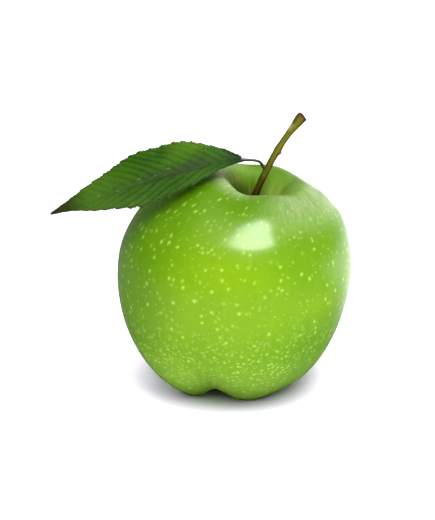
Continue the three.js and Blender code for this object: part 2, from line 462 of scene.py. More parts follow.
def finish_surface(n, shader, colour, roughness, height, relief, coat=0.0, **plain):
    """Feed the shader. Height 0 to 1 stands relief millimetres high, and plain values go on its sockets."""
    n.feed(shader.inputs["Base Color"], colour)
    n.feed(shader.inputs["Roughness"], roughness)
    n.feed(shader.inputs["Coat Weight"], coat)
    for name, value in plain.items():
        shader.inputs[name.replace("_", " ")].default_value = value
    bump = n.add("Bump", {"Height": height, "Distance": relief * MM, "Strength": 1.0})
    n.feed(shader.inputs["Normal"], bump.outputs[0])


# ---- Fruit ----

SKIN_SIDES = 288
SKIN_ROWS = 230
WIDEST = 39.0  # growth lines are spaced as if the fruit were this wide at every height


def lobes_at(degrees):
    """How far down, and how far further out, the lobes stand at each angle round the fruit."""
    down = np.zeros_like(degrees)
    reach = np.zeros_like(degrees)
    for at, full, far, width in LOBES:
        away = (degrees - at + 180) % 360 - 180
        near = np.exp(-np.abs(away / width) ** 3)
        down += (full * near) ** 4
        reach += far * near
    return down ** 0.25, reach


def skin_points(turns, rings):
    """Points of the skin, one row for each outline ring and one column for each turn, in radians."""
    radius, drift, height = (column[:, None] for column in rings.T)
    degrees = np.degrees(turns)
    down, reach = lobes_at(degrees)
    low = 1 - ease(2, 26, height)
    top = ease(45, 66, height)
    off_axis = ease(0, 12, radius)

    flank = bell(height, 8, 13) * ease(6, 16, radius)
    ribbed = 1 + WAIST_RIB * np.cos(np.radians(RIBS * (degrees - WAIST_RIB_AT))) * ease(3, 30, radius)
    out = (radius + (down - 0.6 + reach) * flank) * ribbed

    leftness = ((1 + np.cos(turns - math.radians(LEFT_RISE_AT))) / 2) ** 4
    rightness = ((1 + np.sin(turns)) / 2) ** 2
    shoulder = 1 - ease(18, 38, radius)
    outer_shoulder = ease(9, 22, radius) * (1 - ease(28, 37, radius))
    z = height + LOBE_LIFT * (1 - down) * low * off_axis
    z = z + top * LEFT_RISE * leftness * shoulder * off_axis
    z = z - top * RIGHT_DROP * rightness * outer_shoulder
    z = z + top * RIB_HEIGHT * np.cos(np.radians(RIBS * (degrees - RIB_AT))) * off_axis
    x = out * np.sin(turns) + drift
    y = -out * np.cos(turns) + LEAN_BACK * drift * top + BASE_BACK * low
    return np.stack([x, y, np.maximum(z, SEAT) - SEAT], axis=-1)


def skin_relief(turns, from_dimple, length):
    """How far the skin stands out of the plain shape: folds in the dimple and basin, and soft swells."""
    run = from_dimple[:, None]
    folds = np.cos(7 * turns + 0.6 + 0.03 * run) + 0.7 * np.cos(11 * turns + 2.1 - 0.05 * run)
    folds = folds + 0.5 * np.cos(19 * turns + 0.9 + 0.04 * run) + 0.3 * np.cos(31 * turns + 4.0)
    pleats = np.cos(5 * turns + 0.4) + 0.6 * np.cos(10 * turns + 1.3) + 0.4 * np.cos(23 * turns + 0.7)
    dimple = 0.16 * bell(run, 11, 6.5)
    basin = 0.22 * bell(length - run, 11, 6)
    swells = np.cos(3 * turns + 0.09 * run) * np.sin(0.11 * run + 0.8) + 0.7 * np.sin(5 * turns - 0.13 * run)
    swells = swells + 0.5 * np.sin(8 * turns + 0.17 * run + 1.0)
    side = 0.07 * ease(20, 40, run) * ease(20, 40, length - run)
    return dimple * folds + basin * pleats + side * swells


def apple_fruit():
    places = np.linspace(0, 1, SKIN_ROWS + 1)
    rings = curve_through(HALF_OUTLINE, places)
    run = np.concatenate([[0], np.cumsum(np.linalg.norm(np.diff(rings, axis=0), axis=1))])
    turns = np.arange(SKIN_SIDES) * 2 * math.pi / SKIN_SIDES
    grid = skin_points(turns, rings)
    grid[1:-1] += (
        grid_normals(grid, wrap=True)[1:-1]
        * (skin_relief(turns, run[1:-1], run[-1]) * ease(0, 1.5, grid[1:-1, :, 2]))[..., None]
    )
    points = with_ends(grid[0, 0], grid[1:-1], grid[-1, 0])
    directions = [np.stack([np.sin(turns), -np.cos(turns)], axis=-1) * WIDEST] * (SKIN_ROWS - 1)
    along = np.repeat(run[1:-1], SKIN_SIDES)
    growth = np.column_stack([np.vstack(directions), along])
    growth = np.vstack([(0, 0, 0), growth, (0, 0, run[-1])])
    return points, ring_faces(SKIN_ROWS - 1, SKIN_SIDES), growth


def skin_ground(n, place, growth):
    """The ground colour, softly mottled: a yellow front that is painted light, and deeper green sides,
    shoulder and foot that are painted shade, with a paler tint low down that is painted light.
    """
    rightwards, backwards, from_dimple = n.split(growth)
    mottle = n.plus(n.times(patches(n, place, 17.0, 0.35), 0.45), n.times(patches(n, place, 5.0, 0.3), 0.16))
    # Painted light: a lighter, yellower patch over the front, where the lamps light it most.
    front_painted_light = n.times(n.between(backwards, -12, -38), n.between(rightwards, 14, -4))
    front_painted_light = n.times(front_painted_light, n.between(from_dimple, 34, 52))
    painted_light_blend = n.plus(mottle, n.times(front_painted_light, 0.32), -0.06)
    colour = n.tint(n.math("MULTIPLY", painted_light_blend, 1.0, clamp=True), SKIN_FRESH, SKIN_LIGHT)

    # Painted shade: deeper green over the shoulder, the lower flank, the right and lower right, and the left
    # side.
    shoulder = n.between(from_dimple, 48, 26)
    below = n.times(n.between(from_dimple, 66, 84), n.between(from_dimple, 118, 104), 0.55)
    right = n.times(n.between(rightwards, 8, 24), n.between(from_dimple, 72, 52), 0.6)
    low_right = n.times(n.between(rightwards, 6, 26), n.between(from_dimple, 62, 84))
    low_right = n.times(low_right, n.between(from_dimple, 120, 106))
    left = n.between(rightwards, -11, -32)
    painted_shade_and_streaks = n.most(shoulder, below, right, low_right, left)
    # Deeper green streaks and patches of the skin's own colour join the painted shade.
    streaks = growth_lines(n, growth, 0.55, 0.05, 0.2)
    painted_shade_and_streaks = n.plus(n.times(painted_shade_and_streaks, 0.62), n.times(streaks, 0.1), n.times(patches(n, place, 2.6, 0.3), 0.1))
    colour = n.tint(painted_shade_and_streaks, colour, SKIN_DEEP_AND_SHADE)
    # Painted light: a paler tint low down towards the foot, for light thrown up from the table.
    return n.tint(n.times(n.between(from_dimple, 80, 104), 0.18), colour, FOOT_PAINTED_BOUNCE)


def bloom_and_sheen_mask(n, growth):
    """Grey-white bloom in radial streaks, with a painted sheen: a painted reflection over the right shoulder
    and a painted highlight band along the dimple's lip.
    """
    rightwards, backwards, from_dimple = n.split(growth)
    # Bloom with a painted reflection of the white walls over the right shoulder.
    shoulder = n.times(n.between(from_dimple, 18, 24), n.between(from_dimple, 46, 27))
    shoulder = n.times(shoulder, n.between(rightwards, -6, 26))
    # Painted highlight band along the dimple's lip, strongest at the left front and faint at the back.
    lip = n.times(n.between(from_dimple, 15, 19), n.between(from_dimple, 27, 20))
    lip = n.times(lip, n.between(rightwards, 0, -20, 0.55, 1.7), n.between(backwards, 8, 30, 1.0, 0.3))
    streaks = n.plus(growth_lines(n, growth, 0.34, 0.13, 0.3), growth_lines(n, growth, 0.9, 0.22, 0.4))
    return n.times(n.most(shoulder, lip), n.plus(0.16, n.times(streaks, 0.5, 0.62)))


def dimple_wall(n, growth, streaks):
    """Olive and green streaks down the dimple's walls, darker on the left and towards the stem with painted
    shade.
    """
    rightwards, _, from_dimple = n.split(growth)
    colour = n.tint(streaks, WALL_GREEN, WALL_OLIVE)
    colour = n.tint(n.between(rightwards, -5, 38, 0.0, 0.7), colour, WALL_PALE)
    pinkish = n.times(n.between(rightwards, -8, -32), n.between(from_dimple, 10, 18), n.plus(0.25, streaks))
    colour = n.tint(n.times(pinkish, 0.75), colour, WALL_PINK)
    # Painted shade: darker deep in the dimple, towards the stem.
    colour = n.tint(n.between(from_dimple, 12.5, 7.0, 0.0, 0.85), colour, WALL_PAINTED_SHADE)
    # Painted shade: a dark pit on the left, by the stem's foot.
    left_pit_shade = n.times(n.between(rightwards, -2, -18), n.between(from_dimple, 16, 11.5))
    left_pit_shade = n.times(left_pit_shade, n.plus(0.5, n.times(streaks, 0.5)))
    return n.tint(n.times(left_pit_shade, 0.85), colour, WALL_PAINTED_SHADE)


def russet_mask(n, growth, streaks, from_basin):
    """Russet where the stem grows out, feathered along the growth lines, and round the basin's floor."""
    from_dimple = n.split(growth)[2]
    ragged = n.plus(from_dimple, n.times(growth_lines(n, growth, 0.6, 0.1, 0.2), -7.0))
    at_stem = n.between(ragged, -1.0, 5.5, 1.0, 0.0)
    at_basin = n.between(n.plus(from_basin, n.times(streaks, -4.0)), 1.0, 9.0, 1.0, 0.0)
    return n.most(at_stem, n.times(at_basin, 0.75))


def breathing_spots(n, place, growth, from_basin):
    """Masks of the pale spots and of their halos: large above, drawn out on the shoulder, small below."""
    from_dimple = n.split(growth)[2]
    wobble = n.add("TexNoise", {"Vector": place, "Scale": 0.12, "Detail": 1.0}).outputs["Color"]
    wobble = n.stretch(wobble, (2.5, 2.5, 2.5))
    shifted = n.add("VectorMath", {0: growth, 1: wobble}, operation="ADD").outputs[0]
    upper = n.times(n.between(from_dimple, 18, 26), n.between(from_dimple, 76, 96, 1.0, 0.0))
    off_basin = n.between(from_basin, 6, 12)
    large = n.times(speckles(n, shifted, 2.9, 0.29, 1.0), upper, 0.58)
    medium = n.times(speckles(n, place, 2.2, 0.27, 1.0), n.between(from_dimple, 24, 34), off_basin, 0.45)
    small = n.times(speckles(n, place, 1.6, 0.5, 1.0), n.between(from_dimple, 66, 90), off_basin, 0.7)
    halo = n.times(speckles(n, shifted, 2.9, 0.42, 1.0), upper)
    return n.most(large, medium, small), halo


def skin_material():
    material, n, shader, place = new_material("Waxy green apple skin")
    growth = attribute(n, "growth")
    from_dimple = n.split(growth)[2]
    from_basin = n.math("SUBTRACT", BASIN_FROM_DIMPLE, from_dimple)
    bloom_and_sheen = bloom_and_sheen_mask(n, growth)
    wall = n.between(from_dimple, 20, 11)
    wall_streaks = growth_lines(n, growth, 0.5, 0.08, 0.5)
    russet = russet_mask(n, growth, wall_streaks, from_basin)
    spots, halo = breathing_spots(n, place, growth, from_basin)

    colour = n.tint(bloom_and_sheen, skin_ground(n, place, growth), SKIN_BLOOM_AND_SHEEN)
    colour = n.tint(n.times(wall, 0.95), colour, dimple_wall(n, growth, wall_streaks))
    colour = n.tint(russet, colour, n.tint(patches(n, place, 0.9, 0.5), RUSSET_BROWN, RUSSET_DARK))
    colour = n.tint(n.times(halo, 0.45), colour, SPOT_HALO)
    colour = n.tint(n.times(spots, 0.85), colour, SPOT_PALE)

    grain = n.noise(place, 1.6, 3.0, 0.6)
    dull = n.most(russet, n.times(spots, 0.5))
    roughness = n.plus(0.36, n.times(grain, 0.12), n.times(bloom_and_sheen, 0.25))
    roughness = n.plus(roughness, n.times(dull, 0.35), n.times(wall, 0.2))
    height = n.plus(n.times(grain, 0.5), n.times(n.noise(place, 0.5), 1.3), n.times(spots, 0.3))
    height = n.plus(height, n.times(wall_streaks, wall, 0.8))
    height = n.plus(height, n.times(russet, n.noise(place, 4.0, 3.0, 0.6)))
    coat = n.times(n.math("SUBTRACT", 1.0, russet), n.between(from_dimple, 17, 26), 0.5)
    plain = {"Coat_Roughness": 0.2, "Specular_IOR_Level": 0.02}
    finish_surface(n, shader, colour, roughness, height, 0.045, coat, **plain)
    return material


# ---- Stem and leaf stalk ----

ROUND_CAP = [(0.85, 0.06), (0.5, 0.12), (0.2, 0.14)]
STEM_FOOT_CAP = [(0.9, 0.3), (0.5, 0.5), (0.2, 0.55)]
STEM_CUT = [(0.97, 0.05), (0.9, 0.08), (0.8, 0.02), (0.6, -0.12), (0.4, -0.16), (0.24, -0.28), (0.1, -0.3)]


def turn_from(turns, degrees):
    """Degrees from each turn to the given one, from -180 to 180."""
    return (np.degrees(turns) - degrees + 180) % 360 - 180


def round_stalk(axis, radius_at, rows, sides, start_cap, end_cap):
    """A stalk along a curve: radius_at(place, turn) in millimetres, turn 0 on its right-hand side.

    A cap is a list of (share of the end's radius, distance past the end), from the rim to the middle.
    """
    places = np.linspace(0, 1, rows)
    centres = curve_through(axis, places)
    along = unit(np.gradient(centres, axis=0))
    rightwards = unit(np.cross((0.0, 1.0, 0.0), along))
    backwards = np.cross(along, rightwards)
    turns = -np.arange(sides) * 2 * math.pi / sides

    def ring(row, share, past, tilt):
        radius = radius_at(places[row], turns)[:, None] * share
        out = np.cos(turns)[:, None] * rightwards[row] + np.sin(turns)[:, None] * backwards[row]
        lean = past + tilt * radius * np.cos(turns)[:, None]
        return centres[row] + out * radius + along[row] * lean

    grid = [ring(0, share, -past, 0) for share, past in reversed(start_cap)]
    spots = [0.0] * len(start_cap)
    grid += [ring(row, 1, 0, CUT_TILT * bell(places[row], 1, 0.02)) for row in range(rows)]
    spots += list(places)
    grid += [ring(rows - 1, share, past, CUT_TILT) for share, past in end_cap]
    spots += [1 + 0.01 * (1 - share) for share, past in end_cap]
    first = centres[0] - along[0] * start_cap[-1][1]
    last = centres[-1] + along[-1] * end_cap[-1][1]
    points = with_ends(first, np.array(grid), last)
    growth = growth_directions(np.array(spots), sides)
    return points, ring_faces(len(grid), sides), growth


def stem_radius(place, turns):
    foot = 1 - ease(0, 0.35, place)
    end = ease(0.8, 1.0, place)
    radius = STEM_RADIUS + 0.5 * foot + 0.72 * end ** 1.2
    radius = radius + 0.14 * bell(place, BUD_SCAR_AT, 0.04)
    right = bell(turn_from(turns, -25), 0, 32)
    left = bell(turn_from(turns, 175), 0, 40)
    radius = radius + 0.55 * right * bell(place, BUD_SCAR_AT - 0.004, 0.014)
    radius = radius - 0.12 * left * bell(place, BUD_SCAR_AT - 0.03, 0.016)
    radius = radius + 0.16 * left * bell(place, 0.86, 0.025)
    ridges = 0.05 * np.cos(5 * turns + 5 * place) + 0.035 * np.cos(9 * turns - 7 * place + 1)
    ridges = ridges + 0.02 * np.cos(17 * turns + 3 * np.sin(9 * place))
    lip = 0.12 * ease(0.97, 1.0, place) * np.cos(3 * turns + 1)
    lip = lip + 0.07 * ease(0.985, 1, place) * np.cos(8 * turns)
    return radius + ridges + lip


def bark_material():
    material, n, shader, place = new_material("Green-brown stem bark")
    growth = attribute(n, "growth")
    across, _, up = n.split(growth)
    fibres = growth_lines(n, growth, 3.2, 9.0, 0.35)
    coarse = growth_lines(n, growth, 1.4, 14.0, 0.3)
    mottle = patches(n, place, 1.8, 0.3)

    # Olive green with painted shade: darker down the left, browner down the right; dark brown at the foot and
    # cut end.
    colour = n.tint(fibres, BARK_OLIVE, BARK_GOLD)
    colour = n.tint(n.times(mottle, 0.5), colour, BARK_TAN)
    colour = n.tint(n.times(n.between(across, 0.1, 0.8), 0.85), colour, BARK_SHADE_BROWN)
    colour = n.tint(n.times(n.between(across, -0.5, -1.0), 0.6), colour, BARK_SHADE_GREEN)
    foot = n.between(n.plus(up, n.times(coarse, -0.12)), 0.1, 0.5, 1.0, 0.0)
    colour = n.tint(n.times(foot, 0.95), colour, BARK_FOOT)
    end = n.times(n.between(up, 0.93, 1.0), n.plus(0.1, n.times(coarse, 0.6)))
    colour = n.tint(end, colour, BARK_END)
    scar = n.times(n.between(across, 0.5, 0.85), n.between(up, 0.63, 0.645), n.between(up, 0.675, 0.66))
    colour = n.tint(n.times(scar, 0.8), colour, SCAR_PINK)
    scuff = n.times(n.between(across, -0.2, -0.9), n.between(up, 0.83, 0.87), n.between(up, 0.93, 0.9))
    colour = n.tint(n.times(scuff, n.plus(0.4, n.times(mottle, 0.5))), colour, SCUFF_GREY)

    # The cut: a nearly black rim round reddish wood.
    cut = n.between(up, 1.0003, 1.0012)
    wood = n.tint(n.between(up, 1.0025, 1.006), CUT_RIM, CUT_RED)
    wood = n.tint(n.times(mottle, 0.5), wood, CUT_BROWN)
    colour = n.tint(cut, colour, wood)
    roughness = n.plus(0.55, n.times(mottle, 0.2), n.times(cut, 0.2))
    height = n.plus(n.times(fibres, 0.6), n.times(coarse, 0.5), n.times(n.noise(place, 5.0, 3.0, 0.6), 0.4))
    finish_surface(n, shader, colour, roughness, height, 0.09, Specular_IOR_Level=0.08)
    return material


def stalk_radius(place, turns):
    radius = STALK_RADIUS + 0.35 * (1 - ease(0, 0.25, place)) + 0.12 * ease(0.8, 1, place)
    return radius * (1 + 0.05 * np.cos(4 * turns + 6 * place))


def stalk_material():
    material, n, shader, place = new_material("Dark green leaf stalk")
    growth = attribute(n, "growth")
    up = n.split(growth)[2]
    fibres = growth_lines(n, growth, 2.5, 5.0, 0.4)
    colour = n.tint(fibres, STALK_DARK, STALK_GREEN)
    colour = n.tint(n.times(n.between(up, 0.4, 0.0), 0.7), colour, STALK_FOOT)
    colour = n.tint(n.times(speckles(n, place, 0.8, 0.22, 0.5), 0.4), colour, STALK_DOWN)
    height = n.plus(fibres, n.times(n.noise(place, 6.0, 2.0), 0.5))
    finish_surface(n, shader, colour, n.plus(0.45, n.times(fibres, 0.15)), height, 0.04)
    return material


# ---- Leaf ----

LEAF_ROWS = 520
LEAF_COLUMNS = 84
VEIN_SLOPE = 1.05


def two_sided(upper, lower):
    """Points or values of a thin solid, from a grid for each face, with one point at its base and tip."""
    rings = np.concatenate([upper[:, ::-1], lower], axis=1)
    first = (upper[0].mean(axis=0) + lower[0].mean(axis=0)) / 2
    last = (upper[-1].mean(axis=0) + lower[-1].mean(axis=0)) / 2
    return with_ends(first, rings, last)


def thin_solid(middle, above, below):
    """A closed solid on a middle surface, with rows from base to tip and columns from left to right as seen
    from the base, and how far its two faces stand above and below that surface."""
    up = -grid_normals(middle, wrap=False)
    points = two_sided(middle + up * above[..., None], middle - up * below[..., None])
    return points, ring_faces(len(middle), 2 * middle.shape[1])


def leaf_half_width(along):
    swell = np.sin(math.pi * (0.012 + 0.976 * along) ** 0.93) ** 0.85
    return LEAF_HALF_WIDTH * swell * (1 - 0.22 * ease(0.6, 0.97, along))


def leaf_teeth(along, side):
    """How far the edge's forward-pointing teeth stand out: large ones, each with smaller ones on its back."""
    small = (along * 2 * TEETH + 0.3 * side + 0.25 * np.sin(31 * along + side)) % 1
    large = (along * 0.62 * TEETH + 0.4 * side + 0.2 * np.sin(17 * along + 2 * side)) % 1
    saw = 0.95 * (small ** 1.3 - ease(0.84, 1.0, small)) + 0.9 * (large ** 1.5 - ease(0.9, 1.0, large))
    return (saw - 0.35) * np.sin(math.pi * np.clip(0.04 + 0.95 * along, 0, 1)) ** 0.5


def leaf_grid():
    """Points of the leaf's middle surface, with how far along (0 to 1), across (-1 to 1) and from the midrib
    (in millimetres, + on the back half) each one lies."""
    along = np.linspace(0, 1, LEAF_ROWS)[:, None]
    spread = np.linspace(-1, 1, LEAF_COLUMNS + 1)[None, :]
    across = np.sign(spread) * np.abs(spread) ** 1.3
    side = np.sign(across)
    front = side < 0
    swell = np.where(front, 1 + FRONT_SWELL * bell(along, 0.8, 0.15), 1)
    teeth = leaf_teeth(along, side) * np.where(front, FRONT_TEETH, 1)
    half_width = leaf_half_width(along) * swell + teeth * np.abs(across) ** 6
    reach = np.abs(across) * half_width

    midrib = curve_through(MIDRIB, along[:, 0])
    run = np.gradient(midrib, axis=0)
    run[:, 2] = 0
    run = unit(run)
    backward = np.stack([run[:, 1], -run[:, 0], np.zeros(LEAF_ROWS)], axis=-1)[:, None]
    lifted = np.radians(36 - 19 * along)
    drooped = np.radians(9 - 18 * np.sin(math.pi * along) ** 2)
    slope = np.where(across > 0, lifted, drooped)
    arch = 0.1 * reach * (1 - np.abs(across))
    waves = 0.35 * np.abs(across) ** 2 * np.sin(23 * along + 1.4 * side) * np.sin(math.pi * along)
    flat = midrib[:, None] + backward * (side * reach * np.cos(slope))[..., None]
    points = flat + np.array((0.0, 0.0, 1.0)) * (reach * np.sin(slope) + arch + waves)[..., None]
    return points, along + 0 * across, across + 0 * along, side * reach


def toothed_leaf():
    middle, along, across, from_midrib = leaf_grid()
    length = np.linalg.norm(np.array(MIDRIB[-1]) - np.array(MIDRIB[0]))
    reach = np.abs(from_midrib)
    bend = 1 + 0.22 * (reach / LEAF_HALF_WIDTH) ** 2
    pitch = np.where(from_midrib > 0, BACK_VEIN_PITCH, FRONT_VEIN_PITCH)
    veins = (along * length - VEIN_SLOPE * reach * bend) / pitch
    veins = veins + 0.05 * np.sin(31 * along + 2 * np.sign(from_midrib))
    veins = veins + 0.03 * np.sin(0.9 * reach + 19 * along)
    to_vein = np.abs((veins + 0.5) % 1 - 0.5) * 2
    inside = ease(1.0, 0.86, np.abs(across)) * ease(0.0, 0.05, along) * ease(1.0, 0.93, along)
    off_rib = ease(0.2, 2.0, reach)

    quilt = 0.2 * (np.sin(to_vein * math.pi / 2) ** 0.8 - 0.5) * inside * off_rib
    cross_folds = 0.05 * np.sin(reach * 3.1 + 4 * np.sin(veins * 2.2)) * inside * off_rib * to_vein
    groove = -0.3 * bell(reach, 0, 0.7) * ease(1.0, 0.8, along)
    rib = 0.75 * (1 - 0.8 * along) * bell(reach, 0, 0.55)
    side_ribs = 0.16 * bell(to_vein, 0, 0.16) * inside * (1 - 0.5 * np.abs(across))
    half = LEAF_THICKNESS / 2 * (0.5 + 0.5 * ease(1.0, 0.96, np.abs(across)))
    points, faces = thin_solid(middle, half + quilt + cross_folds + groove, half + rib + side_ribs - quilt)

    blade = np.stack([along * length, from_midrib, veins], axis=-1)
    shape = np.stack([along, np.abs(across), np.ones_like(along)], axis=-1)
    top_side = shape * (1, 1, 0)
    return points, faces, two_sided(blade, blade), two_sided(top_side, shape)


def leaf_upper_face(n, place, along, reach, to_vein, masks):
    """The back half a warmer green than the front, with paler ridges of painted light between veins darkened
    by painted shade, and a painted light patch near the base.
    """
    cloudy, vein, fine_net = masks
    back = n.between(reach, -1.5, 1.5)
    from_rib = n.math("ABSOLUTE", reach)
    front_colour = n.tint(cloudy, LEAF_FRONT_DARK, LEAF_FRONT_LIGHT)
    colour = n.tint(back, front_colour, n.tint(cloudy, LEAF_BACK_DARK, LEAF_BACK_LIGHT))
    # Painted light on the ridges between the veins.
    ridge_light = n.between(to_vein, 0.15, 0.5)
    colour = n.tint(n.times(ridge_light, 0.35), colour, n.tint(back, LEAF_FRONT_RIDGE_LIGHT, LEAF_BACK_RIDGE_LIGHT))
    # Painted shade in the veins' grooves.
    colour = n.tint(n.times(vein, 0.72), colour, LEAF_VEIN_SHADE)
    # Painted light: a lighter patch on the back half near the base.
    painted_light_blend = n.times(n.between(along, 0.08, 0.22), n.between(along, 0.42, 0.26), n.between(reach, 4, 10))
    colour = n.tint(n.times(painted_light_blend, 0.55), colour, LEAF_PAINTED_LIGHT)
    colour = n.tint(n.times(n.between(from_rib, 5.0, 0.3), 0.35), colour, LEAF_RIB_GREEN)
    dull_rib = n.times(n.between(from_rib, 4.5, 0.5), n.between(along, 0.1, 0.24), n.between(along, 0.6, 0.3))
    colour = n.tint(n.times(dull_rib, 0.6), colour, LEAF_RIB_GREY)
    colour = n.tint(n.times(fine_net, 0.28), colour, LEAF_NET)
    colour = n.tint(n.times(patches(n, place, 0.7, 0.4), 0.22), colour, LEAF_MOTTLE)
    flecks = speckles(n, n.stretch(place, (0.4, 1.0, 1.0)), 1.9, 0.2, 0.7)
    return n.tint(n.times(flecks, n.between(from_rib, 6, 1), 0.5), colour, LEAF_FLECK)


def leaf_underside(n, reach, masks):
    """Paler and dull, with light raised veins."""
    cloudy, vein, fine_net = masks
    colour = n.tint(cloudy, UNDER_DARK, UNDER_LIGHT)
    colour = n.tint(n.times(vein, 0.7), colour, UNDER_VEIN)
    colour = n.tint(n.times(fine_net, 0.35), colour, UNDER_NET)
    return n.tint(n.between(n.math("ABSOLUTE", reach), 0.9, 0.4), colour, UNDER_RIB)


def leaf_material():
    material, n, shader, place = new_material("Fresh toothed leaf")
    _, reach, veins = n.split(attribute(n, "blade"))
    along, across, under = n.split(attribute(n, "leaf_shape"))
    cloudy = patches(n, place, 8.0, 0.35)
    to_vein = n.math("PINGPONG", veins, 0.5)
    vein = n.between(to_vein, 0.09, 0.01)
    net_cells = {"Vector": place, "Scale": 1.15, "Randomness": 1.0}
    to_net = n.add("TexVoronoi", net_cells, feature="DISTANCE_TO_EDGE").outputs["Distance"]
    fine_net = n.between(to_net, 0.12, 0.02)
    masks = cloudy, vein, fine_net
    upper = leaf_upper_face(n, place, along, reach, to_vein, masks)
    colour = n.tint(n.between(under, 0.45, 0.55), upper, leaf_underside(n, reach, masks))
    # Painted light: the upper face lighter towards the tip.
    outer_painted_light = n.times(n.between(along, 0.5, 0.8), n.between(under, 0.5, 0.4), 0.45)
    colour = n.tint(outer_painted_light, colour, LEAF_OUTER_LIGHT)

    # Browned tip and edge, and the dark base where the blade narrows into its stalk.
    tip = n.between(n.plus(along, n.times(patches(n, place, 2.2, 0.2), 0.05)), 0.8, 0.96)
    edge = n.times(n.between(across, 0.91, 1.0), n.between(along, 0.35, 0.8, 0.35, 0.9))
    colour = n.tint(n.most(n.times(tip, 0.85), edge), colour, LEAF_TIP)
    colour = n.tint(n.times(n.between(along, 0.12, 0.0), 0.75), colour, LEAF_BASE)

    roughness = n.plus(0.5, n.times(under, 0.25), n.times(cloudy, 0.1), n.times(vein, 0.08))
    height = n.plus(n.times(n.noise(place, 3.0, 3.0, 0.6), 0.6), n.times(fine_net, -0.5), n.times(vein, -0.4))
    finish_surface(n, shader, colour, roughness, height, 0.07, Specular_IOR_Level=0.04)
    return material


# ---- Dried flower in the basin ----

def basin_floor():
    end = skin_points(np.zeros(1), curve_through(HALF_OUTLINE, [1.0]))
    return end[0, 0]


def dried_sepal(number):
    """One sepal: it grows down from the basin's floor, bends in over the stamens and curls out at the tip."""
    floor = basin_floor()
    turn = 2 * math.pi * (number + 0.5) / SEPALS
    outward = np.array((math.sin(turn), -math.cos(turn), 0.0))
    sideways = np.array((math.cos(turn), math.sin(turn), 0.0))
    along = np.linspace(0, 1, 44)[:, None]
    across = np.linspace(-1, 1, 17)[None, :]
    half_width = 1.75 * (1 - along) ** 0.75 * (0.8 + 0.7 * along) + 0.07
    lean = 0.25 * math.sin(2.3 * number + 0.5)
    curl = 1.1 + 0.35 * math.sin(1.7 * number)
    inward = 1.5 * np.sin(math.pi * 0.62 * along) - curl * ease(0.62, 1, along) ** 1.5
    cup = 0.5 * across ** 2 * (1 - 1.6 * along) + 0.1 * np.sin(7 * along + 3 * across + number)
    out = 4.2 - inward + cup
    aside = half_width * across + lean * along ** 2 * 2
    down = 0.9 + 5.6 * along - 0.5 * ease(0.8, 1, along)
    middle = floor + outward * out[..., None] + sideways * (aside + 0 * along)[..., None]
    middle = middle - np.array((0.0, 0.0, 1.0)) * (down + 0 * across)[..., None]
    rib = 0.1 * bell(across, 0, 0.16) * (1 - along) + 0.03 * np.cos(9 * across)
    half = 0.13 + 0.08 * (1 - np.abs(across)) + 0 * along
    points, faces = thin_solid(middle, half, half + rib)
    across, along = np.broadcast_arrays(across, along)
    growth = np.stack([np.cos(across * 2), np.sin(across * 2), along], axis=-1)
    return points, faces, two_sided(growth, growth)


def join_parts(parts):
    """One list of points, faces and growth directions from several."""
    points = np.vstack([part[0] for part in parts])
    growth = np.vstack([part[2] for part in parts])
    faces = []
    start = 0
    for part in parts:
        faces += [tuple(start + index for index in face) for face in part[1]]
        start += len(part[0])
    return points, faces, growth


def dried_stamens():
    """The withered stamens round the five styles, which stand together in the middle."""
    floor = basin_floor()
    parts = []
    for index in range(STAMENS + STYLES):
        style = index >= STAMENS
        turn = 2 * math.pi * (index * 0.618 + 0.1)
        foot = 0.45 if style else 1.2 + 0.3 * math.sin(5.1 * index)
        spread = 0.55 if style else 1.6 + 0.5 * math.sin(3.3 * index + 1)
        length = 4.6 if style else 3.7 + 0.7 * math.sin(2.2 * index)
        out = np.array((math.cos(turn), math.sin(turn), 0.0))
        twist = np.array((-math.sin(turn), math.cos(turn), 0.0)) * 0.5 * math.sin(1.9 * index)
        axis = [
            floor + out * foot + (0, 0, 0.3),
            floor + out * (foot + 0.2) - (0, 0, 0.4 * length),
            floor + out * spread + twist - (0, 0, 0.8 * length),
            floor + out * (spread - 0.35) + twist * 2 - (0, 0, length),
        ]
        parts.append(round_stalk(axis, style_radius if style else stamen_radius, 26, 9, ROUND_CAP, ROUND_CAP))
    return join_parts(parts)


def stamen_radius(place, turns):
    return 0.13 + 0.2 * bell(place, 0.93, 0.07) + 0.02 * np.cos(2 * turns)


def style_radius(place, turns):
    return 0.24 - 0.08 * place + 0.1 * bell(place, 1, 0.06) + 0.02 * np.cos(3 * turns)


def dried_flower_material():
    material, n, shader, place = new_material("Dried brown flower parts")
    growth = attribute(n, "growth")
    up = n.split(growth)[2]
    fibres = growth_lines(n, growth, 3.5, 4.0, 0.4)
    colour = n.tint(fibres, DRY_BROWN, DRY_TAN)
    colour = n.tint(n.times(n.between(up, 0.55, 0.0), 0.55), colour, DRY_GREEN)
    colour = n.tint(n.times(n.between(up, 0.7, 1.0), 0.7), colour, DRY_TIP)
    down = n.times(patches(n, place, 0.35, 0.5), n.between(up, 0.1, 0.8, 0.6, 0.2))
    colour = n.tint(down, colour, DRY_DOWN)
    height = n.plus(fibres, n.noise(place, 7.0, 3.0, 0.6))
    finish_surface(n, shader, colour, n.plus(0.8, n.times(fibres, 0.12)), height, 0.06, Sheen_Weight=0.3)
    return material


# ---- The whole apple ----

def stand_where_packed(points):
    """Where the fruit's own axis meets the table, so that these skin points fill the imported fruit's box."""
    low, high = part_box("fruit")
    middle = (points.min(axis=0) + points.max(axis=0)) / 2 * MM
    return Vector(((low.x + high.x) / 2 - middle[0], (low.y + high.y) / 2 - middle[1], 0.0))


def make_grown_piece(name, part, material, node):
    points, faces, growth = part
    make_piece(name, points, faces, material, [node], {"growth": growth})


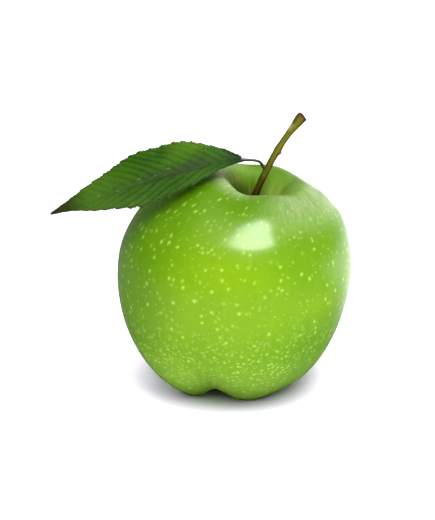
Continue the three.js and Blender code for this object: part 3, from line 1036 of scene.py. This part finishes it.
fruit = apple_fruit()
HOME = stand_where_packed(fruit[0])
make_grown_piece("waxy_green_fruit", fruit, skin_material(), "fruit")
stem = round_stalk(STEM_AXIS, stem_radius, 220, 56, STEM_FOOT_CAP, STEM_CUT)
make_grown_piece("woody_stem", stem, bark_material(), "stem")
stalk = round_stalk(STALK_AXIS, stalk_radius, 60, 20, ROUND_CAP, ROUND_CAP)
make_grown_piece("thin_leaf_stalk", stalk, stalk_material(), "leaf_stalk")

leaf, leaf_faces, leaf_blade, leaf_shape = toothed_leaf()
leaf_values = {"blade": leaf_blade, "leaf_shape": leaf_shape}
make_piece("toothed_leaf", leaf, leaf_faces, leaf_material(), ["leaf_blade"], leaf_values)

dry = dried_flower_material()
for number in range(SEPALS):
    sepal = f"sepal_{number + 1}"
    make_grown_piece(f"dried_{sepal}", dried_sepal(number), dry, sepal)
make_grown_piece("dried_stamens", dried_stamens(), dry, "stamen_tuft")


# ---- Table, light and camera ----

TABLE_HALF_WIDTH = 4.0  # metres
TABLE_WHITE = (0.87, 0.81, 0.97, 1)
TABLE_BOUNCE = (0.88, 0.88, 0.88, 1)
TABLE_MIRRORED = (0.05, 0.05, 0.05, 1)
TABLE_MIRRORED_BEHIND = (0.9, 0.9, 0.9, 1)
WALL_LEFT = 0.1
WALL_RIGHT = 0.9
CEILING = 0.2
MIRROR_SIDES = 0.25
MIRROR_BACK = 3.5
MIRROR_CEILING = 0.15
EYE_WHITE = (1.02, 1.02, 1.02, 1)
CAMERA_DISTANCE = 750
CAMERA_ELEVATION = 22
CAMERA_AIM = (-5.5, 0, 43.6)
SENSOR = 36
VIEW_HEIGHT = 520 / 3  # what is seen from top to bottom, at the fruit


def studio_table():
    """A plain pale table top, so wide that its edge is never seen, and white to the eye far from the fruit.

    Light that bounces off it is a neutral grey, and mirror reflections see it dark except behind the fruit.
    """
    low, high = -TABLE_HALF_WIDTH, TABLE_HALF_WIDTH
    mesh = bpy.data.meshes.new("pale_table")
    mesh.from_pydata([(low, low, 0), (high, low, 0), (high, high, 0), (low, high, 0)], [], [(0, 1, 2, 3)])
    table = bpy.data.objects.new("pale_table", mesh)
    bpy.context.scene.collection.objects.link(table)
    material, n, shader, place = new_material("Plain white table")
    dimmer = (*(0.98 * c for c in TABLE_WHITE[:3]), 1)
    shade = n.tint(patches(n, place, 60.0, 0.2), TABLE_WHITE, dimmer)
    path = n.add("LightPath")
    shade = n.tint(path.outputs["Is Diffuse Ray"], shade, TABLE_BOUNCE)
    rightwards, backwards, _ = n.split(place)
    behind = n.times(n.between(backwards, 0, 90), n.between(rightwards, -60, 90, 0.04, 1.0))
    mirrored = n.tint(behind, TABLE_MIRRORED, TABLE_MIRRORED_BEHIND)
    shade = n.tint(path.outputs["Is Glossy Ray"], shade, mirrored)
    n.feed(shader.inputs["Base Color"], shade)
    from_apple = n.add("VectorMath", {0: place}, operation="LENGTH").outputs["Value"]
    glow = n.times(n.between(from_apple, 600, 1400), path.outputs["Is Camera Ray"])
    n.feed(shader.inputs["Emission Color"], glow)
    shader.inputs["Emission Strength"].default_value = 1.0
    shader.inputs["Roughness"].default_value = 0.7
    shader.inputs["Specular IOR Level"].default_value = 0.2
    mesh.materials.append(material)
    return table


def soft_lamp(name, azimuth, elevation, distance, width, height, watts, highlight=False, roll=0.0):
    """A soft box aimed at the middle of the fruit: azimuth 0 is over the front, 90 over the right.

    A highlight lights nothing and shows only in mirror reflections, as an oval, rolled about its own axis.
    """
    turn, tilt = math.radians(azimuth), math.radians(elevation)
    out = Vector((math.sin(turn) * math.cos(tilt), -math.cos(turn) * math.cos(tilt), math.sin(tilt)))
    data = bpy.data.lights.new(name, "AREA")
    data.shape = "ELLIPSE" if highlight else "RECTANGLE"
    data.size, data.size_y = width, height
    data.energy = watts
    lamp = bpy.data.objects.new(name, data)
    lamp.location = HOME + Vector((0, 0, 0.04)) + out * distance
    lamp.rotation_mode = "QUATERNION"
    lamp.rotation_quaternion = (-out).to_track_quat("-Z", "Y") @ Quaternion((0, 0, 1), math.radians(roll))
    lamp.visible_glossy = highlight
    lamp.visible_diffuse = not highlight
    bpy.context.scene.collection.objects.link(lamp)
    return lamp


def light_only(lamp, pieces):
    """The lamp lights these pieces alone."""
    lit = bpy.data.collections.new(f"lit_by_{lamp.name}")
    for piece in pieces:
        lit.objects.link(piece)
    lamp.light_linking.receiver_collection = lit


def white_surroundings():
    """White walls, brighter on the right, and white to the eye.

    Mirror reflections see a bright back wall on the right, and dark sides, a dark front and a dark ceiling.
    """
    world = bpy.data.worlds.new("white_studio")
    world.use_nodes = True
    n = Nodes(world.node_tree)
    background = next(node for node in world.node_tree.nodes if node.type == "BACKGROUND")
    sideways, depth, up = n.split(n.add("TexCoord").outputs["Generated"])
    front = n.times(n.between(depth, -0.9, -0.3, 1.0, 0.0), n.between(up, 0.5, 0.75, 1.0, 0.0))
    not_front = n.math("SUBTRACT", 1.0, n.times(front, 0.75))
    walls = n.times(n.between(sideways, -0.6, 0.6, WALL_LEFT, WALL_RIGHT), not_front)
    walls = n.plus(walls, n.between(up, 0.35, 0.85, 0.0, CEILING))
    mirrored = n.between(depth, 0.35, 0.95, MIRROR_SIDES, MIRROR_BACK)
    mirrored = n.times(mirrored, n.between(sideways, 0.1, 0.6, 0.04, 1.0))
    mirrored = n.times(mirrored, n.between(up, 0.35, 0.75, 1.0, MIRROR_CEILING))
    path = n.add("LightPath")
    strength = n.tint(path.outputs["Is Glossy Ray"], walls, mirrored)
    n.feed(background.inputs["Strength"], n.tint(path.outputs["Is Camera Ray"], strength, EYE_WHITE))
    background.inputs["Color"].default_value = (1, 1, 1, 1)
    bpy.context.scene.world = world


def studio_camera():
    """Looks down on the front of the fruit."""
    lens = bpy.data.cameras.new("studio_camera")
    lens.sensor_width = SENSOR
    lens.lens = CAMERA_DISTANCE * SENSOR / VIEW_HEIGHT
    lens.clip_start = 0.01
    tilt = math.radians(CAMERA_ELEVATION)
    back = Vector((0, -math.cos(tilt), math.sin(tilt)))
    camera = bpy.data.objects.new("studio_camera", lens)
    camera.location = HOME + (Vector(CAMERA_AIM) + back * CAMERA_DISTANCE) * MM
    camera.rotation_mode = "QUATERNION"
    camera.rotation_quaternion = (-back).to_track_quat("-Z", "Y")
    bpy.context.scene.collection.objects.link(camera)
    bpy.context.scene.camera = camera


table = studio_table()
white_surroundings()
soft_lamp("overhead_soft_box", 20, 63, 0.62, 0.42, 0.5, 3.4)
soft_lamp("overhead_soft_box_sheen", 29, 74, 0.62, 0.46, 0.46, 11.0, highlight=True, roll=-20)
light_only(soft_lamp("wide_front_light", 12, 47, 3.0, 1.0, 1.0, 42), APPLE)
light_only(soft_lamp("table_wash", 0, 85, 2.4, 3.0, 3.0, 150), [table])
light_only(soft_lamp("table_left_fill", -80, 35, 2.0, 1.5, 1.5, 20), [table])
studio_camera()
bpy.context.scene.view_settings.view_transform = "Standard"
